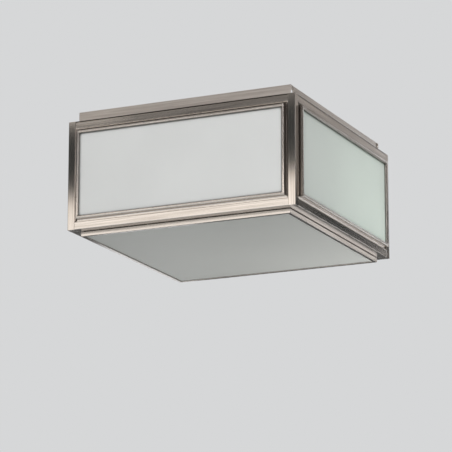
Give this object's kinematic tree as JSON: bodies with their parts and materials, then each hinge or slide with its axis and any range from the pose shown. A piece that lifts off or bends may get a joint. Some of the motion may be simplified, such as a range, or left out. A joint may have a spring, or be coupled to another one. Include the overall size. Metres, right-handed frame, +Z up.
{
  "type": "flush-mount ceiling light",
  "caption": "Square flush-mount ceiling light: satin metal bar frame, etched glass sides and a hinged glass bottom door, with sideways lamps inside.",
  "frame": {"origin": "middle of the ceiling plane, where the collar and the strap meet the ceiling", "axes": "+Z up into the ceiling, -Y towards the front side, +X to the right; the door hinges along the back side"},
  "size_m": [0.3138, 0.3138, 0.1582],
  "materials": {
    "satin_nickel": "satin nickel plate, brushed along each bar",
    "etched_glass": "acid-etched satin glass",
    "white_enamel": "white baked enamel, to reflect the light down",
    "zinc_steel": "zinc-plated steel",
    "spring_brass": "bare brass",
    "porcelain": "glazed white porcelain",
    "block_plastic": "off-white moulded plastic",
    "black_rubber": "moulded black rubber",
    "cap_metal": "bright drawn aluminium",
    "bulb_glass": "white-coated lamp glass",
    "white_sleeve": "silicone wire sleeve",
    "green_sleeve": "green wire insulation",
    "magnet_black": "black ferrite magnet"
  },
  "bodies": {
    "case": {"top_rail_front": "satin_nickel", "bottom_rail_front": "satin_nickel", "collar_bar_front": "satin_nickel", "glazing_frame_front": "satin_nickel", "side_pane_front": "etched_glass", "top_rail_right": "satin_nickel", "bottom_rail_right": "satin_nickel", "collar_bar_right": "satin_nickel", "glazing_frame_right": "satin_nickel", "side_pane_right": "etched_glass", "top_rail_back": "satin_nickel", "bottom_rail_back": "satin_nickel", "collar_bar_back": "satin_nickel", "glazing_frame_back": "satin_nickel", "side_pane_back": "etched_glass", "top_rail_left": "satin_nickel", "bottom_rail_left": "satin_nickel", "collar_bar_left": "satin_nickel", "glazing_frame_left": "satin_nickel", "side_pane_left": "etched_glass", "corner_post_front_left": "satin_nickel", "corner_post_front_right": "satin_nickel", "corner_post_back_right": "satin_nickel", "corner_post_back_left": "satin_nickel", "pane_tabs_bottom": "zinc_steel", "pane_tabs_top": "zinc_steel", "top_plate_screws": "zinc_steel", "ceiling_strap": "zinc_steel", "strap_studs": "zinc_steel", "stud_washers": "zinc_steel", "bracket_screws": "zinc_steel", "holder_screws": "zinc_steel", "earth_screw": "zinc_steel", "catch_brackets": "zinc_steel", "top_plate": "white_enamel", "holder_bracket_left": "zinc_steel", "holder_bracket_right": "zinc_steel", "cap_nuts": "satin_nickel", "terminal_block": "block_plastic", "terminal_screws": "spring_brass", "cable_grommets": "black_rubber", "lamp_leads": "white_sleeve", "earth_lead": "green_sleeve", "screw_shells": "spring_brass", "centre_contacts": "spring_brass", "lampholder_left": "porcelain", "lamp_cap_left": "cap_metal", "lamp_bulb_left": "bulb_glass", "lampholder_right": "porcelain", "lamp_cap_right": "cap_metal", "lamp_bulb_right": "bulb_glass", "hinge_case_leaves": "satin_nickel", "hinge_pins": "satin_nickel", "catch_magnets": "magnet_black"},
    "door": {"door_frame": "satin_nickel", "door_pane": "etched_glass", "door_pane_tabs": "zinc_steel", "hinge_door_leaves": "satin_nickel", "strike_plates": "zinc_steel"}
  },
  "joints": [
    {"name": "door_hinge", "type": "hinge", "parent": "case", "child": "door", "pos_m": [0, 0.1424, -0.1545], "axis": [1, 0, 0], "range_deg": [0, 110]}
  ]
}
